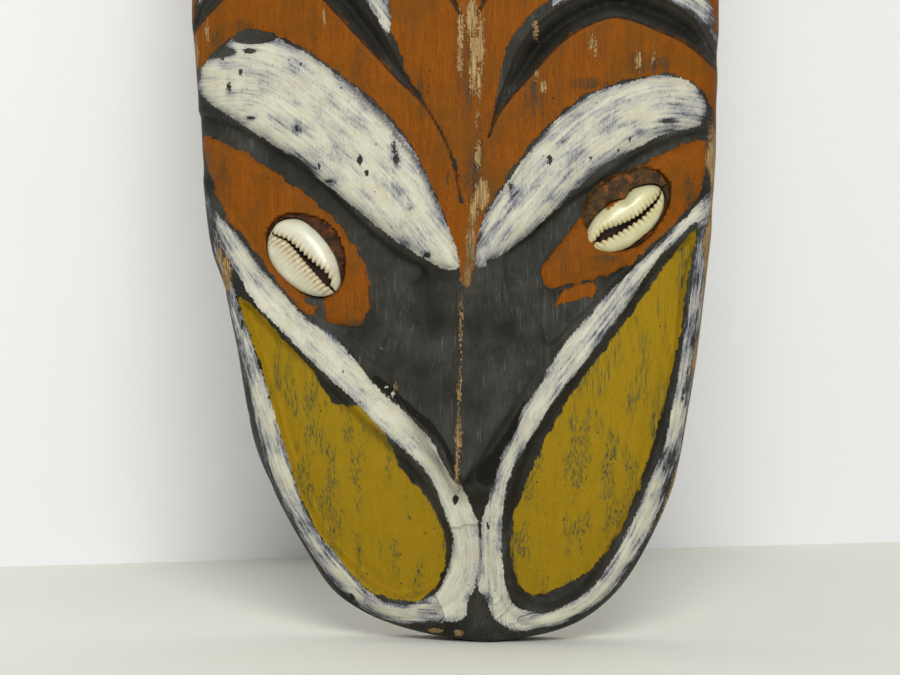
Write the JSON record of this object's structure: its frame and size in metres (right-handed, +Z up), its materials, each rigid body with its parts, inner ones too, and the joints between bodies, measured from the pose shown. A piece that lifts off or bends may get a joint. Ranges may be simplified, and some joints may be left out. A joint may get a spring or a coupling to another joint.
{
  "type": "carved wooden mask",
  "caption": "Long oval wall mask carved from one board, with a beak nose, cowrie-shell eyes, arched forehead grooves and a hanger in its flat back.",
  "frame": {"origin": "on the wall plane where the wall nail stands out, just under the hanger's teeth, 323 mm above the chin and 59 mm below the crown", "axes": "+Z up the mask towards the crown; +Y out of the flat back, into the wall, so the painted front faces -Y; +X to the viewer's right; the nose ridge lies near X = 0"},
  "size_m": [0.1444, 0.0374, 0.3818],
  "materials": {
    "painted_wood": "hand-painted in ochre, yellow, white and black, matte and worn",
    "left_shell": "natural shell, satin gloss",
    "right_shell": "natural shell, satin gloss, yellower",
    "left_putty": "dark resin putty, rough",
    "right_putty": "brown resin putty, rough",
    "hanger_steel": "dull plated steel"
  },
  "bodies": {
    "root": {"mask_board": "painted_wood", "left_cowrie": "left_shell", "right_cowrie": "right_shell", "left_eye_putty": "left_putty", "right_eye_putty": "right_putty", "hanger_plate": "hanger_steel", "left_hanger_nail": "hanger_steel", "right_hanger_nail": "hanger_steel"}
  },
  "joints": []
}
